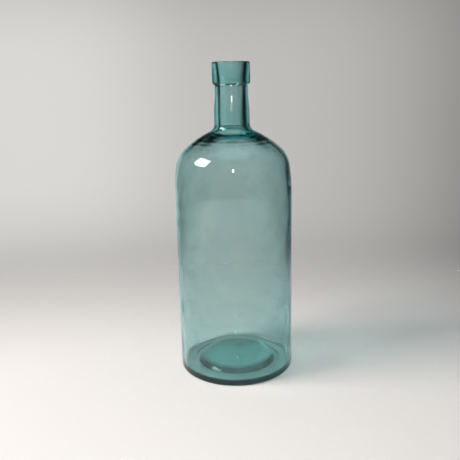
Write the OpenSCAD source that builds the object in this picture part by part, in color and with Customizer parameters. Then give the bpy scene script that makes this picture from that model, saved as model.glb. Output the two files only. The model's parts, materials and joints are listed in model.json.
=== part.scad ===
// Cylindrical blown-glass medicine bottle with an applied collar lip.
// Z is up, and the bottle stands on z = 0 with its axis on the Z axis. Millimetres.
// The bottle is two pieces of glass: the blown body with its neck, and the lip that the
// glassmaker laid on round the neck's end. The neck's end sits in a socket in the lip.

/* [Overall] */
// Height from the resting ring to the rim
overall_h = 237; // [215:1:285]
// Outside diameter of the body
body_d = 90; // [75:1:110]
// Wall of the body, up to the round of the shoulder
wall = 2.9; // [2.2:0.1:4.4]

/* [Base] */
// Rounding of the outside heel
heel_r = 1.4; // [1:0.1:5]
// Width of the flat ring that the bottle stands on
rest_ring_w = 7.4; // [2:0.1:10]
// Height of the push-up under the base, at its middle
pushup_h = 3.9; // [1.5:0.1:6]
// Glass under the trough that runs round the floor's edge
floor_t = 3.2; // [2.5:0.1:7]
// Rounding of the inside corner between the wall and the trough
corner_r = 2.2; // [1.5:0.1:6]
// Width of the flat trough, from the inside corner to the mound in the middle of the floor
trough_w = 6.7; // [4:0.1:10]
// Slope of the mound's low dome at its edge, from horizontal
mound_top_slope = 6.5; // [3:0.5:12]
// Slope of the mound's side, from horizontal
mound_side_slope = 49; // [35:1:65]
// Rounding of the mound's edge
mound_edge_r = 10; // [4:0.5:14]
// Rounding between the mound and the trough
mound_root_r = 3.6; // [2:0.1:6]

/* [Shoulder] */
// Height of the shoulder, the neck and the lip together
top_h = 97; // [90:1:112]
// Radius of the long easing curve at the foot of the shoulder
ease_r = 140; // [110:1:170]
// Slope of the outside where the easing curve ends, from horizontal
ease_slope = 81; // [78:1:84]
// Radius of the round of the shoulder
shoulder_r = 22; // [18:1:28]
// Slope of the outside where the round ends and the crown starts, from horizontal
crown_slope = 42; // [36:1:48]
// Radius of the wide curve from the round up to the neck
crown_r = 70; // [56:1:90]
// Radius of the inside of the crown, where the glass thickens up to the neck
inner_crown_r = 46; // [40:1:60]

/* [Neck] */
// Diameter of the straight bore
bore_d = 17.6; // [14.6:0.1:21.2]
// Glass round the bore where the neck enters the lip
neck_wall = 3.7; // [3:0.1:5]
// Extra glass on each side at the foot of the neck
neck_foot_extra = 0.9; // [0.3:0.05:2]
// Height where the neck starts to narrow, below the lip
narrow_start = 20.5; // [15:0.5:23]
// Height over which the neck narrows
narrow_h = 14; // [5:0.5:17]
// Rounding where the neck leaves the shoulder
neck_fillet_r = 6; // [4:0.1:8]
// Rounding of the inside edge where the shoulder enters the bore
bore_edge_r = 9; // [4:0.1:10]

/* [Lip] */
// How far the lip stands out beyond the neck's end
lip_overhang = 1.65; // [1:0.05:3]
// Height of the lip
lip_h = 16.1; // [13:0.1:20]
// Depth of the socket that holds the neck's end
socket_depth = 4; // [3:0.1:6]
// Width of the flat step under the lip
lip_step = 0.4; // [0.2:0.05:0.8]
// Height of the rounding at the lip's lower edge
lip_foot_h = 2.5; // [1.5:0.1:3.5]
// How much the mouth widens on each side, from the bore to the rim
mouth_flare = 1; // [0.4:0.05:1.8]
// Rounding of the rim's outer edge
rim_outer_r = 0.9; // [0.5:0.05:1.3]
// Rounding of the rim's inner edge
rim_inner_r = 1.3; // [0.8:0.05:1.6]

/* [Hidden] */
aqua = [0.42, 0.68, 0.65, 0.55];
fine = 3;        // degrees between points of a small arc
coarse = 1;      // degrees between points of a wide arc
round_fn = 144;  // facets a preview shows round the axis

body_r = body_d / 2;
inner_r = body_r - wall;
bore_r = bore_d / 2;
neck_top_r = bore_r + neck_wall;
neck_foot_r = neck_top_r + neck_foot_extra;
lip_r = neck_top_r + lip_overhang;
mouth_r = bore_r + mouth_flare;
lip_base_z = overall_h - lip_h;
neck_end_z = lip_base_z + socket_depth;
shoulder_start_z = overall_h - top_h;

// Direction square to a surface of that slope from horizontal, outwards and up.
function uphill(slope) = [sin(slope), cos(slope)];

// Points of an arc, between the points where its surface has those slopes. A slope of 180
// and more is on the arc's lower side.
function arc(centre, r, from, to, step) =
    let (n = max(1, ceil(abs(to - from) / step)))
    [for (i = [0:n]) centre + r * uphill(from + (to - from) * i / n)];

function reversed(points) = [for (i = [len(points) - 1:-1:0]) points[i]];

// Outside of the shoulder: a long easing curve, the round and the crown, each tangent to the
// next.
ease_centre = [body_r - ease_r, shoulder_start_z];
round_centre = ease_centre + (ease_r - shoulder_r) * uphill(ease_slope);

// Shoulder and the fillet at its top, from the straight wall up to an upright wall at radius
// wall_r. The easing curve and the round lie t below the outside, and the crown has a radius
// of its own.
function shoulder(t, top_r, wall_r, fillet_r) =
    let (crown_centre = round_centre + (shoulder_r - t - top_r) * uphill(crown_slope),
         across = wall_r + fillet_r - crown_centre[0],
         reach = top_r + fillet_r,
         rise = sqrt(reach * reach - across * across),
         crown_to = atan2(across, rise))
    concat(
        arc(ease_centre, ease_r - t, 90, ease_slope, coarse),
        arc(round_centre, shoulder_r - t, ease_slope, crown_slope, fine),
        arc(crown_centre, top_r, crown_slope, crown_to, coarse),
        arc(crown_centre + [across, rise], fillet_r, 180 + crown_to, 270, fine));

// Outside of the neck above the fillet: it narrows in a smooth S to its top diameter.
narrow_z = lip_base_z - narrow_start;
function neck_outside() = concat(
    [for (i = [0:12]) let (u = i / 12)
        [neck_foot_r + (neck_top_r - neck_foot_r) * u * u * (3 - 2 * u),
         narrow_z + narrow_h * u]],
    [[neck_top_r, neck_end_z]]);

// Under the base: a shallow dome inside the resting ring.
rest_outer_r = body_r - heel_r;
rest_inner_r = rest_outer_r - rest_ring_w;
pushup_r = (rest_inner_r * rest_inner_r + pushup_h * pushup_h) / (2 * pushup_h);

// Floor: a low dome whose rounded edge falls steeply into the flat trough round it.
corner_centre = [inner_r - corner_r, floor_t + corner_r];
root_centre = [corner_centre[0] - trough_w, floor_t + mound_root_r];
edge_centre = root_centre - (mound_root_r + mound_edge_r) * uphill(mound_side_slope);
dome_from_edge = edge_centre[0] / sin(mound_top_slope);
dome_centre = edge_centre - dome_from_edge * uphill(mound_top_slope);

function outside() = concat(
    arc([0, pushup_h - pushup_r], pushup_r, 0, asin(rest_inner_r / pushup_r), coarse),
    arc([rest_outer_r, heel_r], heel_r, 180, 90, fine),
    shoulder(0, crown_r, neck_foot_r, neck_fillet_r),
    neck_outside());

function inside() = concat(
    reversed(shoulder(wall, inner_crown_r, bore_r, bore_edge_r)),
    arc(corner_centre, corner_r, 90, 180, fine),
    arc(root_centre, mound_root_r, 180, 180 + mound_side_slope, fine),
    arc(edge_centre, mound_edge_r, mound_side_slope, mound_top_slope, fine),
    arc(dome_centre, dome_from_edge + mound_edge_r, mound_top_slope, 0, coarse));

module bottle_body() {
    color(aqua)
    rotate_extrude($fn = round_fn)
    polygon(concat(outside(), [[bore_r, neck_end_z]], inside()));
}

module applied_lip() {
    foot_r = neck_top_r + lip_step;
    color(aqua)
    rotate_extrude($fn = round_fn)
    polygon(concat(
        [[neck_top_r, lip_base_z]],
        [for (a = [0:10:90])
            [foot_r + (lip_r - foot_r) * sin(a), lip_base_z + lip_foot_h * (1 - cos(a))]],
        arc([lip_r - rim_outer_r, overall_h - rim_outer_r], rim_outer_r, 90, 0, 10),
        arc([mouth_r + rim_inner_r, overall_h - rim_inner_r], rim_inner_r, 0, -90, 10),
        [[bore_r, neck_end_z], [neck_top_r, neck_end_z]]));
}

bottle_body();
applied_lip();
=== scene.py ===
"""An old mouth-blown medicine bottle of pale aqua glass, standing on white paper in soft daylight.

The bottle's two pieces of glass, the blown body and the lip laid on round its neck, are fused, so
they are shown as one closed skin of glass. Its outside, its inside, the thick base and the flared
mouth are one profile turned round the Z axis, with the slow waves that blowing leaves in the wall.
"""

from __future__ import annotations

import json
import logging
import math
from dataclasses import dataclass, field
from enum import Enum
from typing import Any

import bpy
import numpy as np
from mathutils import Matrix, Vector

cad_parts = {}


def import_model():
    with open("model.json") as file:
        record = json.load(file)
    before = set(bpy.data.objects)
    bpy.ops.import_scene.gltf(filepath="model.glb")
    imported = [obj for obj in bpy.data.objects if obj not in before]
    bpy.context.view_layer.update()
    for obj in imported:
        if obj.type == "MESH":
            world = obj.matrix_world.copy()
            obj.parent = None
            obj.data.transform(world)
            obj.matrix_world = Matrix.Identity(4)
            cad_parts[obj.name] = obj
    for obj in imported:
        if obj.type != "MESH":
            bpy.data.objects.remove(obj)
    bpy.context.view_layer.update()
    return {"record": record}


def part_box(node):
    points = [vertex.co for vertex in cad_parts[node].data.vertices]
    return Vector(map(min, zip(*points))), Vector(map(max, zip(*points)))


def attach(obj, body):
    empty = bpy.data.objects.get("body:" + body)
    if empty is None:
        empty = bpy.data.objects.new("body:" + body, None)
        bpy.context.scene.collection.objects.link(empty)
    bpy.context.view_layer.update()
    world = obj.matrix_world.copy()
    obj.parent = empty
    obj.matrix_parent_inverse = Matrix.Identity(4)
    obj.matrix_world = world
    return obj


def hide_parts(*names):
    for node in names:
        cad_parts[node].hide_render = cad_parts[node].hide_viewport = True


FRAME: dict[str, Any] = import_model()

MM = 0.001
LOG = logging.getLogger("medicine_bottle")


def linear(hex_colour: str) -> tuple[float, float, float]:
    """Turns an sRGB hex colour into linear light.

    Args:
        hex_colour: six hex digits, such as "8fb3ad".

    Returns:
        Red, green and blue from 0 to 1, in linear light.
    """
    channels = np.array([int(hex_colour[i:i + 2], 16) for i in (0, 2, 4)]) / 255.0
    light = np.where(channels <= 0.04045, channels / 12.92, ((channels + 0.055) / 1.055) ** 2.4)
    return tuple(float(value) for value in light)


def add_node(tree: bpy.types.NodeTree, kind: str, links: dict[Any, Any] | None = None,
             inputs: dict[Any, Any] | None = None, **settings: Any) -> bpy.types.Node:
    """Adds one shader node with its settings, its socket values and its links.

    Args:
        tree: the node tree that gets the node.
        kind: the node's type, such as "ShaderNodeMath".
        links: the sockets that feed it, by the name or the number of its own input.
        inputs: socket values, by the name or the number of its own input.
        settings: the node's own properties.

    Returns:
        The new node.
    """
    node = tree.nodes.new(kind)
    for name, value in settings.items():
        setattr(node, name, value)
    for name, value in (inputs or {}).items():
        node.inputs[name].default_value = value
    for name, socket in (links or {}).items():
        tree.links.new(socket, node.inputs[name])
    return node


def new_material(name: str) -> bpy.types.Material:
    """Makes an empty node material of that name."""
    material = bpy.data.materials.new(name)
    material.use_nodes = True
    material.node_tree.nodes.clear()
    return material


def mesh_object(name: str, points: np.ndarray, faces: list[list[int]],
                material: bpy.types.Material) -> bpy.types.Object:
    """Makes a smooth-shaded mesh object at the origin.

    Args:
        name: the object's name.
        points: an array of X, Y and Z, in metres.
        faces: the vertex numbers of each face, counter-clockwise seen from outside.
        material: the finish of every face.

    Returns:
        The new object, linked to the scene.
    """
    mesh = bpy.data.meshes.new(name)
    mesh.from_pydata(points.tolist(), [], faces)
    mesh.polygons.foreach_set("use_smooth", np.ones(len(mesh.polygons), dtype=bool))
    mesh.materials.append(material)
    mesh.update()
    piece = bpy.data.objects.new(name, mesh)
    bpy.context.scene.collection.objects.link(piece)
    return piece


def ramp(value: np.ndarray, start: float, width: float, least: float = 0.0) -> np.ndarray:
    """Rises evenly from 0 at start to 1 at start + width, and is never under least or over 1.

    Args:
        value: where the ramp is read.
        start: the value where it leaves 0.
        width: how far it takes to reach 1. A negative width makes it fall instead.
        least: the lowest result.

    Returns:
        A share from least to 1, for each value.
    """
    return np.clip((value - start) / width, least, 1)


class Skin(Enum):
    """The glass's two skins, each with its seed and the depth of its waves in millimetres."""

    OUTSIDE = (1894, 0.15)
    INSIDE = (1893, 0.52)

    def __init__(self, seed: int, depth: float) -> None:
        """Keeps the skin's own values."""
        self.seed = seed
        self.depth = depth


@dataclass(frozen=True)
class BlowingMarks:
    """The slow waves that blowing leaves in the glass and the fine rings of the maker's tools.

    They give the eye the bottle's wavering edges and reflections. The glass is true up to
    still_base above the ground and down to still_rim under the rim, and each fade is how far
    the marks take to grow from there. Sizes are in millimetres."""

    wave_count: int = 16
    waves_round: tuple[int, int] = (2, 14)
    wave_length: tuple[float, float] = (22.0, 110.0)
    neck_share: float = 0.35
    still_base: float = 6.0
    base_fade: float = 20.0
    still_rim: float = 8.0
    rim_fade: float = 12.0
    ring_spacing: float = 2.3
    ring_depth: float = 0.03
    wall_ring_share: float = 0.25
    crown_height: float = 170.0
    crown_fade: float = 8.0
    floor_top: float = 12.0
    floor_fade: float = 4.0

    def slow_waves(self, skin: Skin, height: np.ndarray, turn: np.ndarray) -> np.ndarray:
        """Adds up sin(2 pi * height / length + phase) * sin(waves round * turn + phase).

        Args:
            skin: the skin, whose seed draws each wave's length, number and phases.
            height: a column of heights.
            turn: the angles round the axis.

        Returns:
            The mean of the waves, from -1 to 1, for each height and each angle.
        """
        random = np.random.default_rng(skin.seed)
        around = random.integers(*self.waves_round, self.wave_count, endpoint=True)
        length = random.uniform(*self.wave_length, self.wave_count)
        phase = random.uniform(0, 2 * math.pi, (2, self.wave_count))
        upward = np.sin(2 * math.pi * height / length + phase[0])
        sideways = np.sin(turn[:, None] * around + phase[1])
        return upward @ sideways.T / self.wave_count

    def rings(self, way: np.ndarray) -> np.ndarray:
        """Gives the tool's rings, as sin(2 pi * way / spacing)."""
        return np.sin(2 * math.pi * way / self.ring_spacing)


@dataclass(frozen=True)
class AquaGlass:
    """Soda-lime bottle glass of common sand, whose iron tints it aqua.

    It is clear and glossy, and its colour deepens where it is thick: pale in the wall, deep
    blue-green in the base and the neck. A grey film of age dulls it a little, and light scuffs
    break its highlights. Real scratches are finer, and these are drawn wide enough to show."""

    name: str = "aqua_bottle_glass"
    index: float = 1.52
    tint: str = "5de5e6"
    density_per_m: float = 126.0
    film: str = "f9f5f4"
    roughness: float = 0.0
    scuff_spacing_mm: float = 11.0
    scuffed_above: tuple[float, float] = (0.60, 0.65)
    scratch_mm: float = 0.9
    scratched_above: tuple[float, float] = (0.60, 0.66)
    scratch_wander: float = 1.2
    scratch_depth_mm: float = 0.05

    def material(self) -> bpy.types.Material:
        """Makes the glass, with scratches wherever a patch noise and a fine noise are both high.

        Returns:
            A clear dielectric with an even absorbing volume.
        """
        material = new_material(self.name)
        tree = material.node_tree
        place = add_node(tree, "ShaderNodeTexCoord").outputs["Object"]
        patches = add_node(tree, "ShaderNodeTexNoise", links={"Vector": place},
                           inputs={"Scale": 1 / (self.scuff_spacing_mm * MM), "Detail": 1.0})
        scuffed = add_node(tree, "ShaderNodeMapRange", links={"Value": patches.outputs["Fac"]},
                           inputs=dict(zip(("From Min", "From Max"), self.scuffed_above)))
        marks = add_node(tree, "ShaderNodeTexNoise", links={"Vector": place},
                         inputs={"Scale": 1 / (self.scratch_mm * MM),
                                 "Distortion": self.scratch_wander})
        scratches = add_node(tree, "ShaderNodeMapRange", links={"Value": marks.outputs["Fac"]},
                             inputs=dict(zip(("From Min", "From Max"), self.scratched_above)))
        wear = add_node(tree, "ShaderNodeMath", operation="MULTIPLY", links={
            0: scuffed.outputs["Result"], 1: scratches.outputs["Result"]})
        bump = add_node(tree, "ShaderNodeBump", links={"Height": wear.outputs[0]},
                        inputs={"Strength": 1.0, "Distance": self.scratch_depth_mm * MM})
        surface = add_node(tree, "ShaderNodeBsdfPrincipled",
                           links={"Normal": bump.outputs["Normal"]}, inputs={
                               "Base Color": (*linear(self.film), 1.0), "Roughness": self.roughness,
                               "IOR": self.index, "Transmission Weight": 1.0})
        volume = add_node(tree, "ShaderNodeVolumeAbsorption", inputs={
            "Color": (*linear(self.tint), 1.0), "Density": self.density_per_m})
        add_node(tree, "ShaderNodeOutputMaterial", links={
            "Surface": surface.outputs["BSDF"], "Volume": volume.outputs["Volume"]})
        return material


@dataclass(frozen=True)
class SweepPaper:
    """Matt white background paper, uncoated and rolled smooth.

    It gives the eye an even, soft ground without a highlight, which takes the bottle's tinted
    shadow. All round, it fades into the room's light before its edge, so it has no hard edge."""

    name: str = "matt_sweep_paper"
    colour: str = "f0e9e6"
    centre_m: tuple[float, float, float] = (0.0, -0.45, 0.0)
    fade_from_m: float = 0.45
    fade_to_m: float = 0.87

    def material(self) -> bpy.types.Material:
        """Makes the paper.

        Returns:
            A diffuse surface that turns clear with its distance from the sheet's centre.
        """
        material = new_material(self.name)
        tree = material.node_tree
        place = add_node(tree, "ShaderNodeTexCoord")
        away = add_node(tree, "ShaderNodeVectorMath", operation="DISTANCE",
                        links={0: place.outputs["Object"]}, inputs={1: self.centre_m})
        fade = add_node(tree, "ShaderNodeMapRange", interpolation_type="SMOOTHSTEP",
                        links={"Value": away.outputs["Value"]},
                        inputs={"From Min": self.fade_from_m, "From Max": self.fade_to_m})
        paper = add_node(tree, "ShaderNodeBsdfDiffuse",
                         inputs={"Color": (*linear(self.colour), 1.0)})
        clear = add_node(tree, "ShaderNodeBsdfTransparent")
        both = add_node(tree, "ShaderNodeMixShader", links={
            "Fac": fade.outputs["Result"], 1: paper.outputs["BSDF"], 2: clear.outputs["BSDF"]})
        add_node(tree, "ShaderNodeOutputMaterial", links={"Surface": both.outputs["Shader"]})
        return material


def uphill(slope: float) -> np.ndarray:
    """Gives the direction square to a surface of that slope, in radius and height."""
    return np.array([math.sin(math.radians(slope)), math.cos(math.radians(slope))])


class Profile:
    """A line of points in the half-plane of radius and height, in millimetres."""

    def __init__(self) -> None:
        """Starts an empty line."""
        self.points: list[np.ndarray] = []

    def line(self, start: tuple[float, float], end: tuple[float, float], step: float) -> None:
        """Adds a straight run from start up to, but not including, end.

        Args:
            start: radius and height of the first point.
            end: radius and height of the point after the last.
            step: the spacing to aim for.
        """
        count = max(1, round(math.dist(start, end) / step))
        share = np.arange(count)[:, None] / count
        self.points.append(np.array(start) + share * (np.array(end) - np.array(start)))

    def arc(self, centre: tuple[float, float], radius: float, start: float, end: float,
            count: int) -> None:
        """Adds an arc of a circle: centre + radius * (sin angle, cos angle).

        Args:
            centre: radius and height of the circle's centre.
            radius: the circle's radius.
            start: the first angle in degrees, from straight up towards the outside.
            end: the last angle, which is left to the next run.
            count: how many points to add.
        """
        angle = np.radians(start + (end - start) * np.arange(count) / count)
        self.points.append(np.array(centre) + radius * np.column_stack([np.sin(angle), np.cos(angle)]))

    def curve(self, radius: np.ndarray, height: np.ndarray) -> None:
        """Adds points that are already worked out."""
        self.points.append(np.column_stack([radius, height]))

    def array(self) -> np.ndarray:
        """Gives the whole line as an array of radius and height."""
        return np.concatenate(self.points)


@dataclass
class BottleGlass:
    """The whole bottle as one skin of glass. Sizes are in millimetres.

    What the frame states is read from it: the body's diameter, the neck's end, the lip and the
    bore. The others are the bottle's own sizes inside those."""

    finish: AquaGlass = field(default_factory=AquaGlass)
    marks: BlowingMarks = field(default_factory=BlowingMarks)
    wall: float = 2.9
    heel_r: float = 1.4
    rest_ring_w: float = 7.4
    pushup_h: float = 3.9
    floor_t: float = 3.2
    corner_r: float = 2.2
    trough_w: float = 6.7
    mound_top_slope: float = 6.5
    mound_side_slope: float = 49.0
    mound_edge_r: float = 10.0
    mound_root_r: float = 3.6
    shoulder_start_h: float = 140.0
    ease_r: float = 140.0
    ease_slope: float = 81.0
    shoulder_r: float = 22.0
    crown_slope: float = 42.0
    crown_r: float = 70.0
    inner_crown_r: float = 46.0
    neck_foot_r: float = 13.4
    neck_top_r: float = 12.5
    narrow_start: float = 20.5
    narrow_h: float = 14.0
    neck_fillet_r: float = 6.0
    bore_edge_r: float = 9.0
    lip_step: float = 0.4
    lip_foot_h: float = 2.5
    mouth_r: float = 9.8
    rim_outer_r: float = 0.9
    rim_inner_r: float = 1.3
    around: int = 192

    def __post_init__(self) -> None:
        """Reads the outside sizes and the bore from the frame."""
        body_low, body_high = (np.array(corner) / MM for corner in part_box("bottle_body"))
        lip_low, lip_high = (np.array(corner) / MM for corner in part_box("applied_lip"))
        bore = next(m for m in FRAME["record"]["mounts"] if m["name"] == "neck_bore")
        self.body_r = float(body_high[0] - body_low[0]) / 2
        self.neck_end = float(body_high[2])
        self.lip_r = float(lip_high[0] - lip_low[0]) / 2
        self.lip_base = float(lip_low[2])
        self.height = float(lip_high[2])
        self.bore_r = float(bore["dims"]["r_mm"])

    def shoulder(self, line: Profile, depth: float, crown_r: float, wall_r: float,
                 fillet_r: float) -> float:
        """Adds the shoulder: a long easing curve, the round, the crown and the fillet at its top.

        The easing curve and the round share their centres with the outside. The crown carries
        on from the round, and the fillet touches the crown and an upright wall.

        Args:
            line: the profile that gets the points, from the straight wall upwards.
            depth: how far below the outside surface the easing curve and the round lie.
            crown_r: radius of the crown's curve.
            wall_r: radius of the upright wall that the fillet leads into.
            fillet_r: radius of the fillet.

        Returns:
            The height where the fillet meets the upright wall.
        """
        ease = np.array([self.body_r - self.ease_r, self.shoulder_start_h])
        bend = ease + (self.ease_r - self.shoulder_r) * uphill(self.ease_slope)
        crown = bend + (self.shoulder_r - depth - crown_r) * uphill(self.crown_slope)
        across = wall_r + fillet_r - crown[0]
        rise = math.sqrt((crown_r + fillet_r) ** 2 - across ** 2)
        top = math.degrees(math.atan2(across, rise))
        fillet = crown + np.array([across, rise])
        line.arc(ease, self.ease_r - depth, 90, self.ease_slope, count=16)
        line.arc(bend, self.shoulder_r - depth, self.ease_slope, self.crown_slope, count=20)
        line.arc(crown, crown_r, self.crown_slope, top, count=20)
        line.arc(fillet, fillet_r, 180 + top, 270, count=14)
        return float(fillet[1])

    def outside(self) -> np.ndarray:
        """Works out the outside, from the middle of the push-up out to the rim.

        The neck narrows in a smooth S, 3 * share^2 - 2 * share^3 of the way at each share of
        its height, and the lip's foot is a quarter of an ellipse.

        Returns:
            Radius and height of each point, starting on the axis.
        """
        line = Profile()
        ring_out = self.body_r - self.heel_r
        ring_in = ring_out - self.rest_ring_w
        dome_r = (ring_in ** 2 + self.pushup_h ** 2) / (2 * self.pushup_h)
        edge = math.degrees(math.asin(ring_in / dome_r))
        line.arc((0, self.pushup_h - dome_r), dome_r, 0, edge, count=30)
        line.line((ring_in, 0), (ring_out, 0), step=1.0)
        line.arc((ring_out, self.heel_r), self.heel_r, 180, 90, count=10)
        line.line((self.body_r, self.heel_r), (self.body_r, self.shoulder_start_h), step=2.4)
        foot = self.shoulder(line, 0, self.crown_r, self.neck_foot_r, self.neck_fillet_r)
        narrow = self.lip_base - self.narrow_start
        line.line((self.neck_foot_r, foot), (self.neck_foot_r, narrow), step=0.7)
        share = np.linspace(0, 1, 20, endpoint=False)
        line.curve(self.neck_foot_r + (self.neck_top_r - self.neck_foot_r)
                   * share ** 2 * (3 - 2 * share), narrow + self.narrow_h * share)
        line.line((self.neck_top_r, narrow + self.narrow_h), (self.neck_top_r, self.lip_base),
                  step=1.4)
        foot_r = self.neck_top_r + self.lip_step
        line.line((self.neck_top_r, self.lip_base), (foot_r, self.lip_base), step=self.lip_step)
        swell = np.linspace(0, math.pi / 2, 7, endpoint=False)
        line.curve(foot_r + (self.lip_r - foot_r) * np.sin(swell),
                   self.lip_base + self.lip_foot_h * (1 - np.cos(swell)))
        line.line((self.lip_r, self.lip_base + self.lip_foot_h),
                  (self.lip_r, self.height - self.rim_outer_r), step=1.4)
        line.arc((self.lip_r - self.rim_outer_r, self.height - self.rim_outer_r),
                 self.rim_outer_r, 90, 0, count=6)
        return line.array()

    def inside(self) -> np.ndarray:
        """Works out the inside, from the middle of the mound out and up to the rim.

        Returns:
            Radius and height of each point, starting on the axis.
        """
        line = Profile()
        inner_r = self.body_r - self.wall
        top, side = self.mound_top_slope, self.mound_side_slope
        corner = (inner_r - self.corner_r, self.floor_t + self.corner_r)
        root = np.array([corner[0] - self.trough_w, self.floor_t + self.mound_root_r])
        edge = root - (self.mound_root_r + self.mound_edge_r) * uphill(side)
        dome = edge - (edge[0] / uphill(top)[0]) * uphill(top)
        line.arc(dome, math.dist(dome, edge) + self.mound_edge_r, 0, top, count=56)
        line.arc(edge, self.mound_edge_r, top, side, count=20)
        line.arc(root, self.mound_root_r, 180 + side, 180, count=10)
        line.line((root[0], self.floor_t), (corner[0], self.floor_t), step=0.45)
        line.arc(corner, self.corner_r, 180, 90, count=12)
        line.line((inner_r, corner[1]), (inner_r, self.shoulder_start_h), step=2.4)
        edge_z = self.shoulder(line, self.wall, self.inner_crown_r, self.bore_r, self.bore_edge_r)
        line.line((self.bore_r, edge_z), (self.bore_r, self.neck_end), step=1.5)
        line.line((self.bore_r, self.neck_end),
                  (self.mouth_r, self.height - self.rim_inner_r), step=1.2)
        line.arc((self.mouth_r + self.rim_inner_r, self.height - self.rim_inner_r),
                 self.rim_inner_r, 270, 360, count=6)
        return line.array()

    def waves(self, skin: Skin, profile: np.ndarray, turn: np.ndarray) -> np.ndarray:
        """Works out how far the glass swells out of its true shape.

        The slow waves run everywhere but die away at the heel and in the lip, and the rings are
        fullest on the shoulder's crown and the neck. On the floor the rings run round the
        mound. The outside only ever dips below its true shape.

        Args:
            skin: the skin that the profile belongs to.
            profile: radius and height of each point.
            turn: the angles round the axis.

        Returns:
            The swelling in millimetres, for each point of the profile and each angle.
        """
        marks = self.marks
        radius, height = profile[:, :1], profile[:, 1:]
        slow = marks.slow_waves(skin, height, turn)
        free = (ramp(height, marks.still_base, marks.base_fade)
                * ramp(height, self.height - marks.still_rim, -marks.rim_fade))
        depth = skin.depth * free * ramp(radius, 0, self.body_r, marks.neck_share)
        ring_depth = marks.ring_depth * free * ramp(
            height, marks.crown_height, marks.crown_fade, marks.wall_ring_share)
        if skin is Skin.OUTSIDE:
            return (slow - 1) * depth + (marks.rings(height) - 1) * ring_depth
        floor_r = self.body_r - self.wall - self.corner_r
        floor = (radius < floor_r) & (height < marks.floor_top)
        way = np.where(floor, radius, height)
        ring_depth = np.where(floor, marks.ring_depth * ramp(radius, floor_r, -marks.floor_fade),
                              ring_depth)
        return slow * depth + marks.rings(way) * ring_depth

    def swollen(self, skin: Skin, profile: np.ndarray, turn: np.ndarray) -> np.ndarray:
        """Moves a profile by its waves, square to its own line, at each angle.

        Args:
            skin: the skin that the profile belongs to.
            profile: radius and height of each point, with the glass on the left of the line.
            turn: the angles round the axis.

        Returns:
            Radius and height for each point of the profile and each angle.
        """
        along = np.gradient(profile, axis=0)
        along /= np.linalg.norm(along, axis=1)[:, None]
        out = np.column_stack([along[:, 1], -along[:, 0]])
        return profile[:, None, :] + out[:, None, :] * self.waves(skin, profile, turn)[..., None]

    def turned(self) -> tuple[np.ndarray, list[list[int]]]:
        """Turns the profile round the axis, as radius * cos and radius * sin of the turn.

        Returns:
            The points in metres, and the faces.
        """
        turn = np.arange(self.around) * 2 * math.pi / self.around
        profile = np.concatenate([
            self.swollen(Skin.OUTSIDE, self.outside()[1:], turn),
            self.swollen(Skin.INSIDE, self.inside()[:0:-1], turn)])
        rings = len(profile)
        radius = profile[..., 0]
        grid = np.stack([radius * np.cos(turn), radius * np.sin(turn), profile[..., 1]], axis=-1)
        poles = np.array([[0, 0, self.pushup_h], [0, 0, self.inside()[0, 1]]])
        points = np.concatenate([grid.reshape(-1, 3), poles]) * MM

        index = np.arange(rings * self.around).reshape(rings, self.around)
        after = np.roll(index, -1, axis=1)
        quads = np.stack([index[:-1], after[:-1], after[1:], index[1:]], axis=-1).reshape(-1, 4)
        low = rings * self.around
        under = np.stack([np.full(self.around, low), after[0], index[0]], axis=-1)
        floor = np.stack([np.full(self.around, low + 1), index[-1], after[-1]], axis=-1)
        return points, quads.tolist() + under.tolist() + floor.tolist()

    def build(self) -> bpy.types.Object:
        """Builds the bottle in place of its two CAD nodes.

        Returns:
            The skin of glass.
        """
        points, faces = self.turned()
        glass = mesh_object("bottle_glass", points, faces, self.finish.material())
        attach(glass, "root")
        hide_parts("bottle_body", "applied_lip")
        return glass


@dataclass(frozen=True)
class RoomLobe:
    """A soft-edged patch of the room's light. Its place and its reach are in degrees."""

    azimuth: float
    elevation: float
    width: float
    height: float
    colour: str
    strength: float


@dataclass(frozen=True)
class SoftLamp:
    """A rectangular soft lamp that faces the bottle's middle. Its direction is in degrees, from
    +Y towards +X and above the horizon, its sizes are in metres and its power is in watts."""

    name: str
    azimuth: float
    elevation: float
    distance: float
    width: float
    height: float
    power: float
    colour: str
    aim: tuple[float, float, float] = (0.0, 0.0, 0.12)

    def build(self) -> bpy.types.Object:
        """Adds the lamp, out of the camera's sight.

        Returns:
            The lamp's object.
        """
        turn, rise = math.radians(self.azimuth), math.radians(self.elevation)
        away = Vector((math.sin(turn) * math.cos(rise), math.cos(turn) * math.cos(rise),
                       math.sin(rise)))
        light = bpy.data.lights.new(self.name, "AREA")
        light.shape = "RECTANGLE"
        light.size, light.size_y = self.width, self.height
        light.energy = self.power
        light.color = linear(self.colour)
        lamp = bpy.data.objects.new(self.name, light)
        lamp.location = Vector(self.aim) + away * self.distance
        lamp.rotation_euler = away.to_track_quat("Z", "Y").to_euler()
        lamp.visible_camera = False
        bpy.context.scene.collection.objects.link(lamp)
        return lamp


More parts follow.
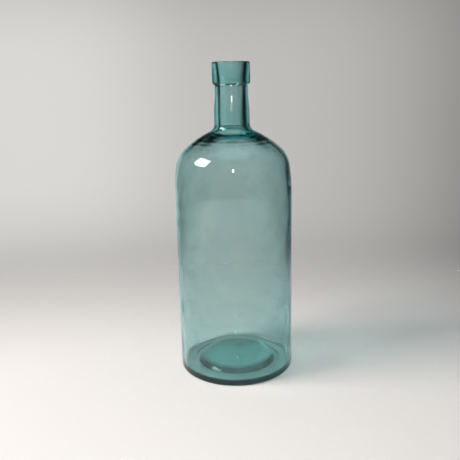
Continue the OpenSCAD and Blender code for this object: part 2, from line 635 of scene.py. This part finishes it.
@dataclass
class Studio:
    """The paper, the lamps and the room round the bottle. Azimuths are in degrees from +Y
    towards +X, and sizes are in metres."""

    paper: SweepPaper = field(default_factory=SweepPaper)
    paper_r: float = 0.9
    paper_rings: int = 12
    paper_sides: int = 96
    air_gap: float = 0.0001
    lobes: tuple[RoomLobe, ...] = (
        RoomLobe(-10, -4, 36, 19, "fffcf8", 0.52),
        RoomLobe(-24, -2, 17, 14, "fffffc", 0.18),
        RoomLobe(180, 30, 55, 34, "fff8e6", 0.17),
        RoomLobe(180, 90, 500, 30, "edf9ff", 1.20),
    )
    base_light: float = 0.012
    lamps: tuple[SoftLamp, ...] = (
        SoftLamp("window_box", -105, 37, 1.1, 0.54, 0.42, 11.6, "fffefb"),
        SoftLamp("front_lamp", 179.5, 20, 0.5, 0.012, 0.09, 0.6, "ffffff"),
    )

    def lay_paper(self) -> bpy.types.Object:
        """Lays a flat round sheet under the bottle, with rings of points at radius * (cos, sin).

        Returns:
            The sheet, which belongs to the studio and not to the bottle.
        """
        rings = self.paper_r * np.arange(1, self.paper_rings + 1) / self.paper_rings
        turn = np.arange(self.paper_sides) * 2 * math.pi / self.paper_sides
        flat = np.stack([rings[:, None] * np.cos(turn), rings[:, None] * np.sin(turn),
                         np.full((len(rings), len(turn)), -self.air_gap)], axis=-1).reshape(-1, 3)
        points = np.concatenate([flat, [[0, 0, -self.air_gap]]]) + self.paper.centre_m
        index = np.arange(len(flat)).reshape(len(rings), len(turn))
        after = np.roll(index, -1, axis=1)
        quads = np.stack([index[:-1], index[1:], after[1:], after[:-1]], axis=-1).reshape(-1, 4)
        hub = np.stack([np.full(len(turn), len(flat)), index[0], after[0]], axis=-1)
        sheet = mesh_object("sweep", points, quads.tolist() + hub.tolist(), self.paper.material())
        return sheet

    def light_room(self) -> None:
        """Lights the room with soft patches that depend only on the direction looked in.

        Each patch is colour * exp(-s), where s is the sum of (azimuth offset / width)^4 and
        (elevation offset / height)^4: flat in its middle, with a soft edge.
        """
        world = bpy.data.worlds.new("soft_room")
        world.use_nodes = True
        tree = world.node_tree
        tree.nodes.clear()
        direction = add_node(tree, "ShaderNodeTexCoord").outputs["Generated"]
        split = add_node(tree, "ShaderNodeSeparateXYZ", links={0: direction})
        rise = add_node(tree, "ShaderNodeMath", operation="ARCSINE", links={0: split.outputs["Z"]})
        base = dict.fromkeys(("X", "Y", "Z"), self.base_light)
        light = add_node(tree, "ShaderNodeCombineXYZ", inputs=base).outputs["Vector"]
        for lobe in self.lobes:
            heading = math.radians(lobe.azimuth)
            colour = [lobe.strength * part for part in linear(lobe.colour)]
            ahead = add_node(tree, "ShaderNodeVectorMath", operation="DOT_PRODUCT",
                             links={0: direction},
                             inputs={1: (math.sin(heading), math.cos(heading), 0)})
            aside = add_node(tree, "ShaderNodeVectorMath", operation="DOT_PRODUCT",
                             links={0: direction},
                             inputs={1: (math.cos(heading), -math.sin(heading), 0)})
            turn = add_node(tree, "ShaderNodeMath", operation="ARCTAN2",
                            links={0: aside.outputs["Value"], 1: ahead.outputs["Value"]})
            turn_share = add_node(tree, "ShaderNodeMath", operation="DIVIDE",
                                  links={0: turn.outputs[0]}, inputs={1: math.radians(lobe.width)})
            rise_off = add_node(tree, "ShaderNodeMath", operation="SUBTRACT",
                                links={0: rise.outputs[0]},
                                inputs={1: math.radians(lobe.elevation)})
            rise_share = add_node(tree, "ShaderNodeMath", operation="DIVIDE",
                                  links={0: rise_off.outputs[0]},
                                  inputs={1: math.radians(lobe.height)})
            spot = add_node(tree, "ShaderNodeCombineXYZ",
                            links={0: turn_share.outputs[0], 1: rise_share.outputs[0]})
            square = add_node(tree, "ShaderNodeVectorMath", operation="MULTIPLY",
                              links={0: spot.outputs[0], 1: spot.outputs[0]})
            fourth = add_node(tree, "ShaderNodeVectorMath", operation="DOT_PRODUCT",
                              links={0: square.outputs[0], 1: square.outputs[0]})
            minus = add_node(tree, "ShaderNodeMath", operation="MULTIPLY",
                             links={0: fourth.outputs["Value"]}, inputs={1: -1.0})
            bell = add_node(tree, "ShaderNodeMath", operation="EXPONENT",
                            links={0: minus.outputs[0]})
            patch = add_node(tree, "ShaderNodeVectorMath", operation="SCALE",
                             links={"Scale": bell.outputs[0]}, inputs={0: colour})
            light = add_node(tree, "ShaderNodeVectorMath", operation="ADD",
                             links={0: light, 1: patch.outputs[0]}).outputs[0]
        glow = add_node(tree, "ShaderNodeBackground", links={"Color": light})
        add_node(tree, "ShaderNodeOutputWorld", links={"Surface": glow.outputs[0]})
        bpy.context.scene.world = world

    def build(self) -> None:
        """Sets up the paper, the room and the lamps."""
        self.lay_paper()
        self.light_room()
        for lamp in self.lamps:
            lamp.build()


@dataclass
class Viewpoint:
    """The camera, level with the lip and looking slightly down at the bottle. Its place is in
    metres, its angles are in degrees, and its lens and sensor are in millimetres."""

    distance: float = 0.4377
    height: float = 0.2209
    pitch_down: float = 14.17
    turn_left: float = 0.43
    roll: float = -1.318
    lens: float = 45.08
    sensor: float = 36.0

    def build(self) -> bpy.types.Object:
        """Adds the camera and makes it the scene's own.

        Returns:
            The camera's object.
        """
        data = bpy.data.cameras.new("camera")
        data.lens = self.lens
        data.sensor_width = self.sensor
        camera = bpy.data.objects.new("camera", data)
        aim = (Matrix.Rotation(math.radians(self.turn_left), 4, "Z")
               @ Matrix.Rotation(math.radians(90 - self.pitch_down), 4, "X")
               @ Matrix.Rotation(math.radians(self.roll), 4, "Z"))
        camera.matrix_world = Matrix.Translation((0, -self.distance, self.height)) @ aim
        bpy.context.scene.collection.objects.link(camera)
        bpy.context.scene.camera = camera
        return camera


def set_light_paths() -> None:
    """Lets light pass through every wall of the glass, and keeps the colours as they are lit."""
    cycles = bpy.context.scene.cycles
    cycles.max_bounces = 24
    cycles.transmission_bounces = 24
    cycles.glossy_bounces = 12
    cycles.diffuse_bounces = 3
    cycles.transparent_max_bounces = 8
    cycles.blur_glossy = 0.0
    cycles.sample_clamp_indirect = 0.0
    cycles.use_denoising = True
    bpy.context.scene.view_settings.view_transform = "Standard"


def main() -> None:
    logging.basicConfig(level=logging.INFO, format="%(name)s: %(message)s")
    set_light_paths()
    Viewpoint().build()
    Studio().build()
    glass = BottleGlass().build()
    LOG.info("%s: %d faces", glass.name, len(glass.data.polygons))


if __name__ == "__main__":
    main()
